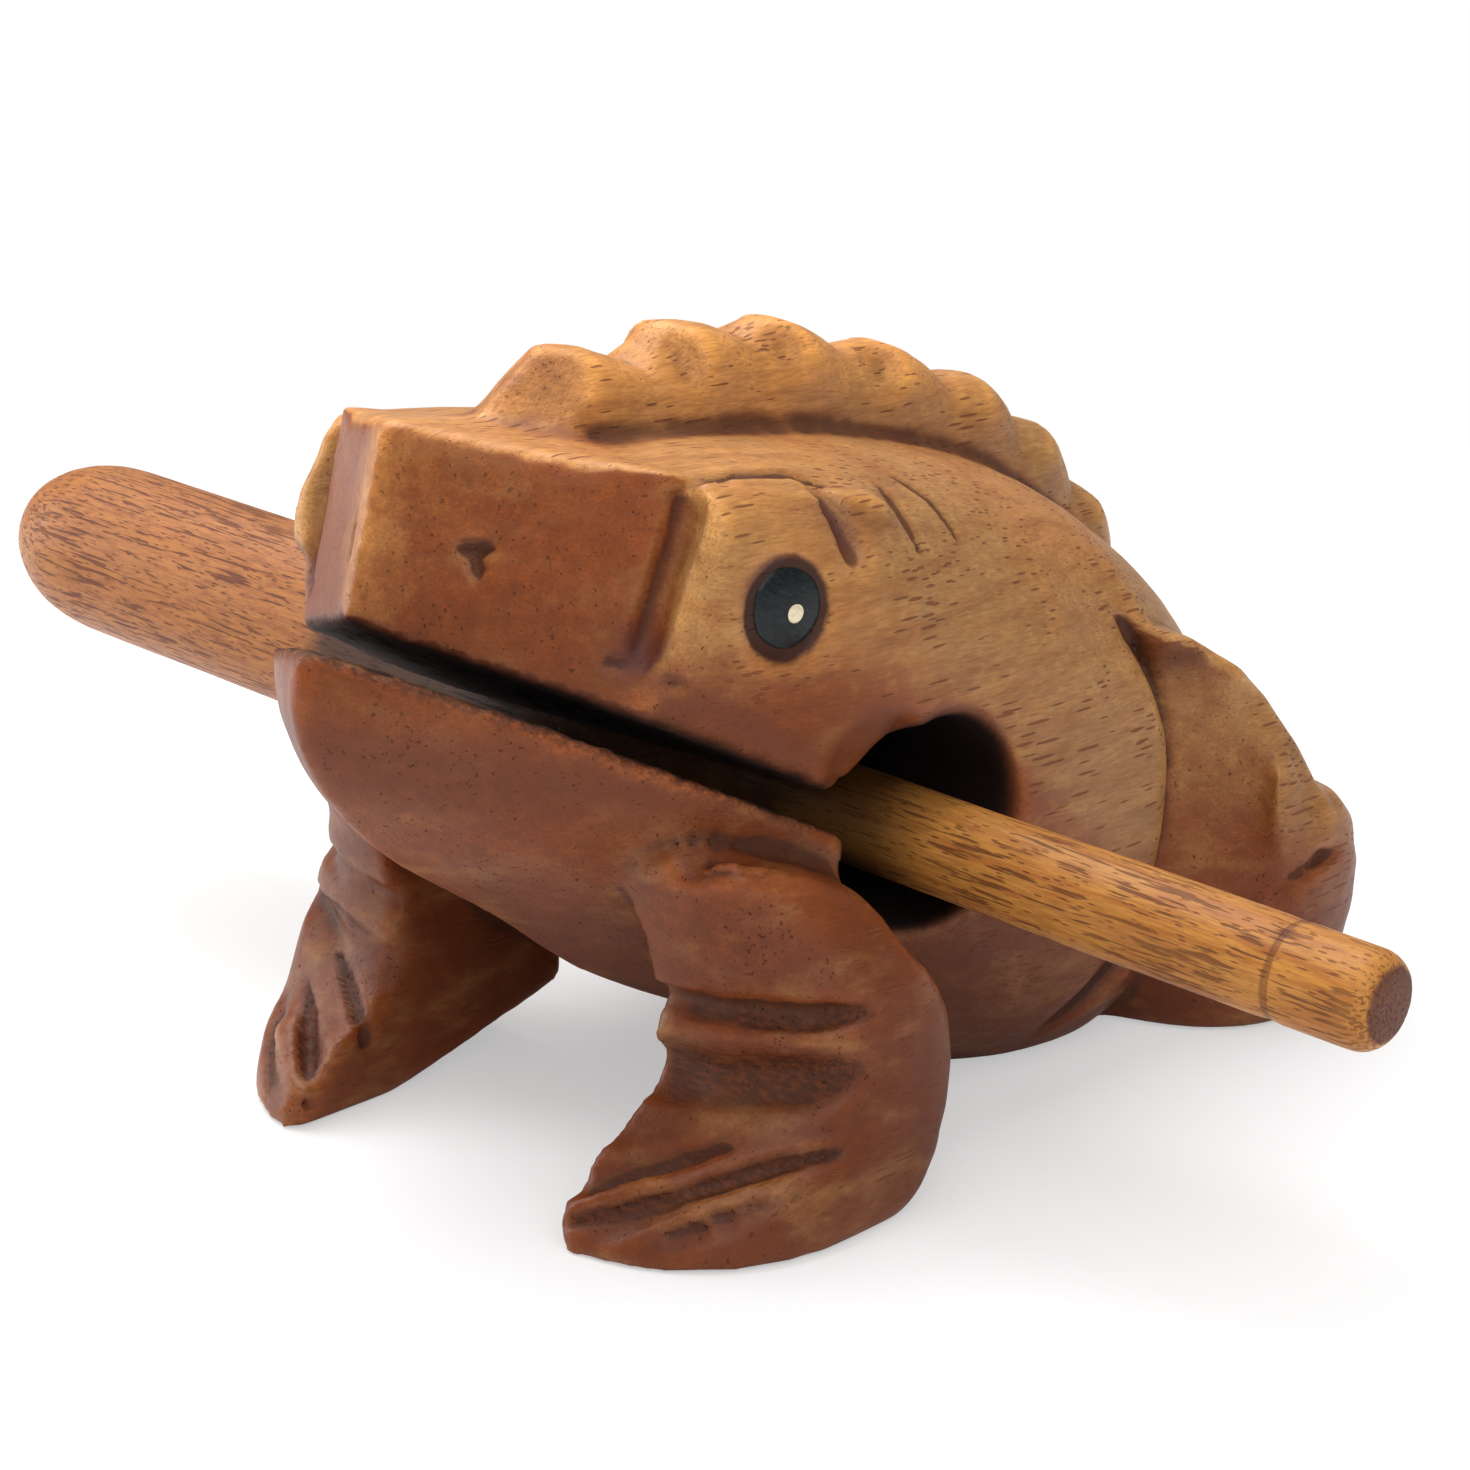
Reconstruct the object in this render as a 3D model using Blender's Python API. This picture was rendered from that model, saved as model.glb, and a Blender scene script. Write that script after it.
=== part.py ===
"""A carved wooden frog guiro with its rasp stick pushed through the bore.

Run in Blender 4.5, from the text editor or with --background --python.
Metres, +Z up. The frog looks along -Y and its own left side is +X. The forms
are laid out from a datum at the middle of the frog, on the floor; each object
is then moved back by REST_Y, so that the world's origin is in the middle of
the flat the belly rests on.
"""
import math

import bmesh
import bpy
from mathutils import Euler, Matrix, Vector

MM = 0.001

# Driving sizes, in millimetres unless they are angles in degrees.
REST_Y = 21.0                # middle of the belly's flat, behind the datum
REACH = 60.0                 # how far a cutting tool reaches past what it cuts
SINK = 2.0                   # how deep a form is let into the one that carries it

# The trunk, front to back: y, top, bottom, half width, height of the widest
# line, and how square the upper half is.
TRUNK = (
    (-32.8, 62.6, 41.0, 20.6, 51.0, 6.0),
    (-29.2, 63.2, 36.0, 24.2, 50.0, 6.0),
    (-23.0, 63.0, 27.0, 25.8, 48.0, 5.0),
    (-14.0, 62.2, 17.0, 26.8, 43.0, 4.0),
    (-4.0, 61.0, 7.0, 27.3, 37.0, 3.2),
    (6.0, 59.3, 0.5, 28.0, 31.0, 2.8),
    (16.0, 57.0, -4.0, 28.3, 27.0, 2.6),
    (26.0, 53.6, -5.5, 27.8, 25.0, 2.5),
    (34.0, 49.0, -3.0, 25.8, 24.0, 2.4),
    (42.0, 44.2, 2.5, 22.0, 24.0, 2.3),
    (49.0, 38.2, 8.5, 16.5, 24.0, 2.2),
    (54.0, 33.0, 14.0, 10.5, 24.0, 2.1),
    (57.0, 27.0, 20.0, 4.0, 23.5, 2.0),
)
TRUNK_LOW_SQUARE = 2.6       # how square the lower half of a trunk section is
FACE_LEAN = 0.42             # how far the front of the trunk leans back for each mm of height
FACE_LEAN_END = -28.0        # where that lean has died away
FACE_LEAN_AT = 50.0          # height at which a leaning section keeps its own y
FACE_LEAN_FROM = 48.0        # height below which it stands upright

# The lower jaw and chest, in level slices: height, front, half width, and how
# far its sides sweep back before they turn, as a share of the half width.
JAW = (
    (58.0, -47.0, 25.4, 0.54),
    (49.7, -50.4, 26.0, 0.54),
    (45.5, -51.4, 26.4, 0.54),
    (41.0, -50.7, 26.5, 0.53),
    (36.0, -47.9, 26.2, 0.50),
    (30.0, -42.0, 25.2, 0.46),
    (23.0, -31.8, 23.6, 0.40),
    (15.0, -21.4, 21.0, 0.32),
    (8.0, -8.8, 17.5, 0.26),
    (3.0, 1.5, 14.5, 0.22),
    (-4.0, 14.0, 10.0, 0.20),
)
JAW_BULGE = 1.06             # how far out a side's turning point lies, per half width
JAW_WIDEST_Y = -9.0          # where a slice of the jaw is widest, at the lip
JAW_BACK_Y = 24.0            # where the slices close inside the trunk

# The snout: two flat faces that meet in an upright edge on the middle plane.
NOSE_TOP = (-41.6, 66.8)     # y, z of the upper end of that edge
NOSE_FOOT = (-46.2, 51.1)    # y, z where the edge meets the mouth
SNOUT_CORNER = (21.5, -27.7, 62.5)   # outer upper corner of a flat face
HEAD_BACK = (24.0, -6.0, 58.0)       # where the head's top dies into the trunk

# The mouth: a saw cut that falls towards the bore.
MOUTH_FALL = 27.5            # degrees
MOUTH_GAP = 3.1

# The bore and the stick kept in it.
BORE_R = 9.6
BORE_Y = -4.3
BORE_Z = 30.4
BORE_FALL = 1.5              # degrees, down towards the frog's left
BORE_LIP_R = 2.2             # round of the two mouths
BORE_LIP_X = 28.2            # where that round ends, out from the middle plane
STICK_GAP = 0.65             # radial gap between the bore and the stick's thick half
STICK_Y = -3.65              # where its axis crosses the middle plane
STICK_Z = 29.55
STICK_FALL = 3.85            # degrees, down towards the frog's left
STICK_YAW = 1.0              # degrees, back towards the frog's left
STICK_HANDLE_END = -99.0     # domed end, along the stick from the middle plane
STICK_TAPER_FROM = -19.0
STICK_TAPER_TO = 10.0
STICK_TIP_END = 71.3
STICK_TIP_R = 4.35
STICK_DOME = 14.0            # length of the domed end
STICK_CHAMFER = 1.6
STICK_RING_AT = 61.5         # scored line round the tip
STICK_RING_DEEP = 0.35

# The crest: y, z of its notches on the middle plane, from its foot on the
# head to its end on the rump, with one tooth between each pair.
CREST_NOTCHES = (
    (-32.4, 63.6),
    (-14.8, 67.6),
    (-1.9, 68.3),
    (11.2, 65.5),
    (25.3, 61.1),
    (36.0, 55.8),
    (45.3, 48.4),
    (52.2, 39.8),
)
CREST_TEETH = (5.8, 2.4, 1.9, 1.7, 1.7, 1.6, 1.5)    # heights of the teeth over the line of notches
CREST_PEAK = 0.36            # where a tooth is highest, as a share of its length
CREST_FALL = 1.6             # how full its back is: 1 is straight
CREST_FRONT = ((0.0, -32.8, 64.2), (6.5, -26.8, 63.5), (0.0, -24.3, 70.5))   # plane of its front, left half
CREST_SIDE_TOOTH = 1.7       # how far a tooth stands out to the side
CREST_HALF = 6.4             # half width at the bottom of the notches
CREST_HALF_TAIL = 4.8
CREST_RISE = 8.0             # from its root to the bottom of the notches
CREST_BAND = 0.42            # plain part of its side, as a share of the rise
SCOOP_AT = 0.2               # place of a tooth's hollow, as a share of the tooth's length
SCOOP_R = 0.27               # its radius, on the same terms
SCOOP_FROM = (2.4, 5.6)      # out and up, from the line of notches, of the tool's two ends
SCOOP_TO = (11.0, -4.4)

# The front legs, in level slices: height, front, back, outer side, and how
# much wider the right one was left.
FRONT_LEG = (
    (-6.0, -40.9, -16.0, 33.6, -0.9),
    (-0.5, -40.7, -12.0, 34.2, -0.9),
    (1.6, -40.2, -9.6, 34.4, -0.9),
    (4.4, -38.4, -7.6, 34.4, -0.4),
    (6.2, -36.2, -7.2, 34.3, 0.1),
    (7.6, -32.8, -7.0, 34.3, 0.9),
    (9.4, -30.2, -6.9, 34.3, 1.7),
    (12.5, -28.4, -6.9, 34.3, 1.9),
    (16.5, -27.9, -7.6, 34.2, 0.9),
    (20.5, -28.4, -9.2, 33.2, -0.1),
    (24.5, -29.4, -12.0, 31.8, -0.7),
    (28.0, -30.8, -16.0, 30.0, -0.6),
    (30.4, -31.6, -20.6, 28.8, 0.0),
    (31.8, -31.6, -25.0, 27.6, 0.0),
    (32.6, -31.0, -28.0, 26.0, 0.0),
)
FRONT_LEG_IN = 16.4          # flat inner side
FRONT_LEG_WIDEST = 0.62      # share of a slice's length where it is widest
FRONT_LEG_SQUARE = (2.2, 4.0)        # of its front and back halves
RIGHT_LEG_SQUARER = 0.35     # how much squarer its front is, for each millimetre that it is wider
HEEL_PLANE = ((16.4, -30.0, -0.3), (16.4, -9.5, 5.0), (27.0, -9.0, 0.0))     # planed off inside, under the heel
TOE_PLANE = ((16.4, -39.7, -1.0), (19.5, -42.0, -1.0), (16.4, -37.8, 6.0))   # planed off the inner toe

# The haunches and hind feet, in level slices: height, front, back, outer side.
HAUNCH = (
    (-6.0, 33.0, 48.0, 31.0),
    (-0.5, 31.0, 51.3, 32.5),
    (5.0, 29.0, 55.6, 33.8),
    (10.0, 28.0, 57.4, 34.4),
    (15.0, 27.0, 57.6, 34.8),
    (19.0, 27.0, 55.6, 34.8),
    (21.6, 27.0, 52.6, 34.6),
    (22.6, 27.0, 49.2, 34.4),
    (27.0, 26.0, 47.0, 33.6),
    (31.5, 25.0, 43.6, 32.4),
    (35.5, 24.0, 39.6, 30.6),
    (39.0, 22.0, 34.0, 28.0),
    (40.6, 22.0, 30.0, 25.0),
)
HAUNCH_IN = 15.0
HAUNCH_WIDEST = 0.6
HAUNCH_SQUARE = (2.2, 2.8)   # of its front and back halves

# The crease between the flank and the haunch: part of a ring cut round an
# axis that runs across the frog.
CREASE_Y = 9.0
CREASE_Z = 25.0
CREASE_R = 23.2
CREASE_FLOOR_X = 23.6        # how far out from the middle plane it bottoms
CREASE_WIDE = 9.0            # width of its slanted wall
CREASE_FROM = -62.0          # degrees, from level towards the floor
CREASE_TO = 56.0             # degrees, towards the back

# The right brow was left fuller than the left: corners of what it has more.
RIGHT_BROW = (
    (-19.0, -29.0, 61.8),
    (-24.2, -25.4, 61.9),
    (-24.6, -30.6, 54.5),
    (-24.8, -31.2, 50.8),
    (-20.0, -32.2, 50.0),
    (-22.6, -26.0, 47.0),
    (-25.4, -22.0, 52.0),
    (-14.0, -22.0, 60.0),
    (-14.0, -22.0, 48.0),
)

# The eyes: shallow round dishes in the brow.
EYE_AT = (26.0, -21.8, 51.9)
EYE_R = 4.8
EYE_DEEP = 1.2
EYE_TURN = 10.0              # degrees its face turns forward

# Gouge cuts on the left side; the right side mirrors them. Each has a start,
# an end and the tool's radius at each; its middle line runs near the surface.
GOUGE_CUTS = (
    # Below the eye bulge, down the cheek.
    ((21.4, -27.6, 65.0), (19.6, -34.4, 46.6), 2.4, 2.4),
    # Two across the brow.
    ((20.0, -13.8, 61.8), (27.4, -13.3, 53.2), 1.2, 1.9),
    ((20.0, -6.8, 60.6), (27.0, -5.6, 54.4), 1.0, 1.3),
    # Under the cheek, along the top of the arm.
    ((21.0, -33.6, 32.6), (28.8, -20.0, 31.6), 1.2, 1.0),
    # Round the wrist, in two strokes each.
    ((14.0, -28.3, 18.3), (27.4, -27.4, 18.9), 1.7, 1.6),
    ((22.0, -29.4, 18.7), (35.4, -19.2, 19.3), 1.6, 1.0),
    ((14.0, -30.2, 12.6), (27.6, -28.6, 13.2), 2.9, 2.7),
    ((22.0, -30.6, 13.0), (35.8, -20.6, 13.6), 2.7, 1.6),
    # Between the toes.
    ((29.0, -27.6, 9.4), (12.0, -41.8, 4.2), 0.8, 2.2),
    ((34.8, -21.6, 9.0), (25.0, -36.4, 5.6), 0.8, 1.2),
    ((28.5, -32.8, 6.4), (17.4, -43.0, 1.2), 1.0, 1.9),
    ((34.8, -26.6, 6.6), (22.0, -42.8, 0.4), 0.6, 1.1),
    # Over the hind foot and between its toes.
    ((35.0, 44.0, 21.6), (30.0, 58.0, 22.6), 1.2, 1.2),
    ((30.6, 34.0, 13.2), (36.2, 44.6, 17.6), 1.0, 1.0),
    ((35.2, 39.0, 17.2), (31.6, 58.0, 15.6), 1.1, 1.1),
)
NOSTRIL_AT = (7.6, -39.6, 56.4)
NOSTRIL_TURN = (-90.0, -13.9, -54.9)
NOSTRIL_R = 1.9
NOSTRIL_DEEP = 1.3

# How finely round forms are divided.
SECTION_POINTS = 40
CURVE_STEPS = 3
LATHE_STEPS = 48
TOOTH_STEPS = (0.0, 0.12, 0.24, 0.36, 0.54, 0.74, 0.9)
CREST_POINTS = 6


def clear_scene():
    for thing in list(bpy.data.objects):
        bpy.data.objects.remove(thing, do_unlink=True)


def material(name, colour, roughness):
    made = bpy.data.materials.new(name)
    made.use_nodes = True
    shader = made.node_tree.nodes["Principled BSDF"]
    shader.inputs["Base Color"].default_value = (*colour, 1.0)
    shader.inputs["Roughness"].default_value = roughness
    shader.inputs["Metallic"].default_value = 0.0
    return made


def as_object(name, shape):
    """Make an object of a bmesh given in millimetres, facing outwards."""
    bmesh.ops.remove_doubles(shape, verts=shape.verts, dist=0.002)
    bmesh.ops.recalc_face_normals(shape, faces=shape.faces)
    bmesh.ops.scale(shape, vec=(MM, MM, MM), verts=shape.verts)
    mesh = bpy.data.meshes.new(name)
    shape.to_mesh(mesh)
    shape.free()
    made = bpy.data.objects.new(name, mesh)
    bpy.context.scene.collection.objects.link(made)
    return made


def loft(name, rings):
    """Skin rings of equal counts of points, and close both ends."""
    shape = bmesh.new()
    rows = [[shape.verts.new(point) for point in ring] for ring in rings]
    count = len(rows[0])
    for near, far in zip(rows, rows[1:]):
        for i in range(count):
            j = (i + 1) % count
            shape.faces.new((near[i], near[j], far[j], far[i]))
    shape.faces.new(rows[0])
    shape.faces.new(rows[-1])
    return as_object(name, shape)


def prism(name, outline, low, high):
    """An outline in Y and Z, carried along X from low to high."""
    return loft(name, [[(x, y, z) for y, z in outline] for x in (low, high)])


def hull(name, points):
    shape = bmesh.new()
    for point in points:
        shape.verts.new(point)
    made = bmesh.ops.convex_hull(shape, input=shape.verts)
    spare = {v for v in made["geom_interior"] + made["geom_unused"] if isinstance(v, bmesh.types.BMVert)}
    bmesh.ops.delete(shape, geom=list(spare), context="VERTS")
    return as_object(name, shape)


def lathe(name, profile, steps=LATHE_STEPS):
    """Turn a profile of (x, radius) about X; its ends lie on the axis."""
    shape = bmesh.new()
    rings = []
    for x, radius in profile:
        if radius == 0.0:
            rings.append([shape.verts.new((x, 0.0, 0.0))] * steps)
            continue
        turn = [2.0 * math.pi * i / steps for i in range(steps)]
        rings.append([shape.verts.new((x, radius * math.cos(a), radius * math.sin(a))) for a in turn])
    for near, far in zip(rings, rings[1:]):
        for i in range(steps):
            j = (i + 1) % steps
            corners = list(dict.fromkeys((near[i], near[j], far[j], far[i])))
            shape.faces.new(corners)
    return as_object(name, shape)


def smooth_rows(rows, steps):
    """Rows between those given, on a curve that passes through each of them."""
    made = []
    for i in range(len(rows) - 1):
        before, here = rows[max(i - 1, 0)], rows[i]
        there, after = rows[i + 1], rows[min(i + 2, len(rows) - 1)]
        for step in range(steps):
            t = step / steps
            row = []
            for a, b, c, d in zip(before, here, there, after):
                bend = (2 * a - 5 * b + 4 * c - d) * t + (3 * b - a - 3 * c + d) * t * t
                row.append(b + 0.5 * t * (c - a + bend))
            made.append(tuple(row))
    made.append(tuple(rows[-1]))
    return made


def power(value, square):
    """Signed value to the power 2 / square, for squared-off ellipses."""
    return math.copysign(abs(value) ** (2.0 / square), value)


def move(thing, place, turn=(0.0, 0.0, 0.0)):
    """Place a mesh given in millimetres and degrees, in its own data."""
    matrix = Matrix.Translation(Vector(place) * MM)
    thing.data.transform(matrix @ Euler([math.radians(a) for a in turn]).to_matrix().to_4x4())


def mirrored(thing):
    twin = bpy.data.objects.new(thing.name + "_right", thing.data.copy())
    bpy.context.scene.collection.objects.link(twin)
    twin.data.transform(Matrix.Scale(-1.0, 4, (1.0, 0.0, 0.0)))
    twin.data.flip_normals()
    return twin


def combine(target, tool, operation):
    """Apply an exact Boolean and remove the tool."""
    change = target.modifiers.new(operation, "BOOLEAN")
    change.operation = operation
    change.solver = "EXACT"
    change.object = tool
    with bpy.context.temp_override(object=target, active_object=target, selected_objects=[target]):
        bpy.ops.object.modifier_apply(modifier=change.name)
    bpy.data.objects.remove(tool, do_unlink=True)


def both_sides(target, tool, operation):
    combine(target, mirrored(tool), operation)
    combine(target, tool, operation)


def trunk():
    """The egg of the body, with the brows as its squared front."""
    rings = []
    for y, top, bottom, half, widest, square in smooth_rows(TRUNK, CURVE_STEPS):
        fade = min(1.0, max(0.0, (FACE_LEAN_END - y) / (FACE_LEAN_END - TRUNK[0][0])))
        ring = []
        for i in range(SECTION_POINTS):
            angle = 2.0 * math.pi * i / SECTION_POINTS
            across, up = math.cos(angle), math.sin(angle)
            bend = square if up >= 0.0 else TRUNK_LOW_SQUARE
            reach = top - widest if up >= 0.0 else widest - bottom
            x = half * power(across, bend)
            z = widest + reach * power(up, bend)
            ring.append((x, y + FACE_LEAN * fade * (max(z, FACE_LEAN_FROM) - FACE_LEAN_AT), z))
        rings.append(ring)
    return loft("trunk", rings)


def mouth_line(y, lift):
    """Height of the mouth's roof at y, moved square to the cut by lift."""
    fall = math.radians(MOUTH_FALL)
    roof_y, roof_z = NOSE_FOOT
    return roof_z - math.tan(fall) * (y - roof_y) + lift / math.cos(fall)


def jaw():
    """The bowl of the chin and chest, planed off inside the mouth."""
    rings = []
    quarter = SECTION_POINTS // 4
    for z, front, half, sweep in smooth_rows(JAW, CURVE_STEPS):
        middle = max(JAW_WIDEST_Y, front + 6.0 * SINK)
        tip = Vector((0.0, front))
        turn = Vector((JAW_BULGE * half, front + sweep * half))
        side = Vector((half, middle))
        right = []
        for i in range(2 * quarter):
            t = i / (2 * quarter)
            right.append((1.0 - t) ** 2 * tip + 2.0 * t * (1.0 - t) * turn + t * t * side)
        for i in range(quarter + 1):
            angle = 0.5 * math.pi * i / quarter
            right.append(Vector((half * math.cos(angle), middle + (JAW_BACK_Y - middle) * math.sin(angle))))
        left = [Vector((-p.x, p.y)) for p in reversed(right[1:-1])]
        rings.append([(p.x, p.y, z) for p in right + left])
    made = loft("jaw", rings)
    ends = (JAW[2][1] - REACH, JAW_BACK_Y + REACH)
    outline = [(y, mouth_line(y, -0.3 * MOUTH_GAP)) for y in ends] + [(y, 2.0 * REACH) for y in reversed(ends)]
    combine(made, prism("above_mouth", outline, -REACH, REACH), "DIFFERENCE")
    return made


def snout():
    """The wedge of the upper head, down into the mouth."""
    (top_y, top_z), (foot_y, foot_z) = NOSE_TOP, NOSE_FOOT
    corner, back = Vector(SNOUT_CORNER), Vector(HEAD_BACK)
    top = Vector((0.0, top_y, top_z))
    edge = Vector((0.0, foot_y, foot_z)) - top
    face = edge.cross(corner - top)
    lift = -0.7 * MOUTH_GAP

    def at_mouth(x):
        """Point of the flat face at x, where the wedge ends."""
        y = foot_y
        for _ in range(30):
            z = mouth_line(y, lift)
            y = top_y - (face.x * x + face.z * (z - top_z)) / face.y
        return Vector((x, y, mouth_line(y, lift)))

    low, side = at_mouth(0.0), at_mouth(corner.x - 0.5)
    half = [top, low, corner, side, back, Vector((0.0, back.y, top_z - 5.6))]
    half += [Vector((x, back.y, mouth_line(back.y, lift))) for x in (0.0, back.x)]
    return hull("snout", [(s * p.x, p.y, p.z) for p in half for s in (-1.0, 1.0)])


def slices(name, rows, inner, widest, points=22):
    """A leg: level slices, flat on the inner side and round on the outer."""
    rings = []
    for z, front, back, outer, front_square, back_square in rows:
        middle = front + (back - front) * widest
        ring = []
        for i in range(points):
            angle = math.pi * i / (points - 1)
            along, out = math.cos(angle), math.sin(angle)
            reach, square = (middle - front, front_square) if along >= 0.0 else (back - middle, back_square)
            x = inner + (outer - inner) * abs(power(out, square))
            ring.append((x, middle - reach * power(along, square), z))
        rings.append(ring)
    return loft(name, rings)


def haunch():
    return slices("haunch", [row + HAUNCH_SQUARE for row in HAUNCH], HAUNCH_IN, HAUNCH_WIDEST)


def front_leg(side):
    """The left leg for side 1, the right one for side -1."""
    rows = []
    for z, front, back, outer, more in FRONT_LEG:
        wider = more if side < 0.0 else 0.0
        near, far = FRONT_LEG_SQUARE
        rows.append((z, front, back, outer + wider, near + RIGHT_LEG_SQUARER * wider, far))
    made = slices("front_leg", rows, FRONT_LEG_IN, FRONT_LEG_WIDEST)
    for corners in (HEEL_PLANE, TOE_PLANE):
        combine(made, beyond("plane", corners), "DIFFERENCE")
    if side < 0.0:
        made.data.transform(Matrix.Scale(-1.0, 4, (1.0, 0.0, 0.0)))
        made.data.flip_normals()
    return made


def tooth_height(phase):
    """Straight up to the peak, then a round fall: 0 at both notches, 1 at the peak."""
    if phase < CREST_PEAK:
        return (phase / CREST_PEAK) ** 0.9
    return 1.0 - ((phase - CREST_PEAK) / (1.0 - CREST_PEAK)) ** CREST_FALL


def crest_frame(place):
    """Point of the notch line at a place counted in teeth, and its two directions."""
    steps = 12
    line = [Vector(p) for p in smooth_rows(CREST_NOTCHES, steps)]
    i = min(int(place * steps), len(line) - 2)
    along = (line[min(i + 2, len(line) - 1)] - line[max(i - 1, 0)]).normalized()
    return line[i].lerp(line[i + 1], place * steps - i), along, Vector((-along.y, along.x))


def crest():
    """The saw-toothed ridge: sections square to the line of its notches."""
    teeth = len(CREST_NOTCHES) - 1
    places = [tooth + phase for tooth in range(teeth) for phase in TOOTH_STEPS] + [float(teeth)]
    rings = []
    for place in places:
        tooth = min(int(place), teeth - 1)
        phase = place - tooth
        if tooth == 0:
            phase = max(phase, CREST_PEAK)
        base, along, up = crest_frame(place)
        half = CREST_HALF + (CREST_HALF_TAIL - CREST_HALF) * place / teeth
        height = CREST_TEETH[tooth] * tooth_height(phase)
        bulge = CREST_SIDE_TOOTH * tooth_height(phase)
        side = []
        for s in range(CREST_POINTS + 1):
            turn = 0.5 * math.pi * s / CREST_POINTS
            rise, out = math.sin(turn) ** 0.9, math.cos(turn) ** 0.85
            bite = min(1.0, max(0.0, (rise - CREST_BAND) / (0.8 - CREST_BAND)))
            point = base - up * CREST_RISE * (1.0 - rise) + up * height * rise * bite
            side.append((half * out + bulge * bite * out ** 0.5, point.x, point.y))
        foot = base - up * (CREST_RISE + SINK)
        side.insert(0, (half, foot.x, foot.y))
        rings.append(side + [(-x, y, z) for x, y, z in reversed(side[:-1])])
    made = loft("crest", rings)
    both_sides(made, beyond("front", CREST_FRONT), "DIFFERENCE")
    return made


def beyond(name, corners):
    """A thick slab on the outer side of the plane of three points."""
    first, second, third = (Vector(p) for p in corners)
    out = (second - first).cross(third - first).normalized()
    one = (third - first).normalized()
    two = out.cross(one)
    wide = (-REACH, REACH)
    return hull(name, [first + one * a + two * b + out * c for a in wide for b in wide for c in (0.0, REACH)])


def scoops(body):
    """The hollows that give each tooth but the first a concave front."""
    for tooth in range(1, len(CREST_TEETH)):
        base, along, up = crest_frame(float(tooth))
        length = (crest_frame(tooth + 1.0)[0] - base).length
        ends = []
        for out, rise in (SCOOP_FROM, SCOOP_TO):
            point = base + along * SCOOP_AT * length + up * rise
            ends.append((out, point.x, point.y))
        both_sides(body, gouge(*ends, SCOOP_R * length, SCOOP_R * length, 12), "DIFFERENCE")


def gouge(start, end, near, far, sides=6):
    """A cut from one point to another, with pointed ends and a radius at each."""
    start, end = Vector(start), Vector(end)
    length = (end - start).length
    profile = [(0.0, 0.0), (0.2 * length, near), (0.8 * length, far), (length, 0.0)]
    made = lathe("gouge", profile, sides)
    turn = (end - start).to_track_quat("X", "Z").to_matrix().to_4x4()
    made.data.transform(Matrix.Translation(start * MM) @ turn)
    return made


def crease():
    """Part of a ring with a three-cornered section, behind the flank."""
    section = [(CREASE_FLOOR_X, CREASE_R), (CREASE_FLOOR_X + CREASE_WIDE, CREASE_R + CREASE_WIDE)]
    section.append((CREASE_FLOOR_X + CREASE_WIDE, CREASE_R))
    rings = []
    steps = 20
    for k in range(steps + 1):
        angle = math.radians(CREASE_FROM + (CREASE_TO - CREASE_FROM) * k / steps)
        grow = min(1.0, 4.0 * min(k, steps - k) / steps + 0.12)
        ring = []
        for x, radius in section:
            reach = CREASE_R + (radius - CREASE_R) * grow
            out = x + (1.0 - grow) * 4.0
            ring.append((out, CREASE_Y + reach * math.cos(angle), CREASE_Z + reach * math.sin(angle)))
        rings.append(ring)
    return loft("crease", rings)


def bore():
    """The hole across the body, with a round at each mouth."""
    half = [(BORE_LIP_X - BORE_LIP_R, BORE_R)]
    for k in range(1, 6):
        angle = 0.5 * math.pi * k / 5
        x = BORE_LIP_X - BORE_LIP_R * (1.0 - math.sin(angle))
        half.append((x, BORE_R + BORE_LIP_R * (1.0 - math.cos(angle))))
    reach = half[-1][1]
    half += [(REACH, reach), (REACH, 0.0)]
    made = lathe("bore", [(-x, r) for x, r in reversed(half)] + half)
    move(made, (0.0, BORE_Y, BORE_Z), (0.0, BORE_FALL, 0.0))
    return made


def mouth():
    ys = (NOSE_FOOT[0] - REACH, BORE_Y - SINK)
    roof = [(y, mouth_line(y, 0.0)) for y in ys]
    sole = [(y, mouth_line(y, -MOUTH_GAP)) for y in reversed(ys)]
    return prism("mouth", roof + sole, -REACH, REACH)


def eye():
    """A shallow dish with a raised middle, turned about its own axis."""
    profile = [(6.0, 0.0), (6.0, EYE_R + 0.6), (0.0, EYE_R), (-0.6 * EYE_DEEP, 0.9 * EYE_R)]
    profile += [(-EYE_DEEP, 0.74 * EYE_R), (-0.9 * EYE_DEEP, 0.4 * EYE_R), (-0.75 * EYE_DEEP, 0.0)]
    made = lathe("eye", profile, 32)
    move(made, EYE_AT, (0.0, 0.0, -EYE_TURN))
    return made


def nostril():
    """A three-cornered pit, its point down."""
    outer = NOSTRIL_R * (NOSTRIL_DEEP + SINK) / NOSTRIL_DEEP
    made = lathe("nostril", [(-NOSTRIL_DEEP, 0.0), (SINK, outer), (SINK, 0.0)], 3)
    move(made, NOSTRIL_AT, NOSTRIL_TURN)
    return made


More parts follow.
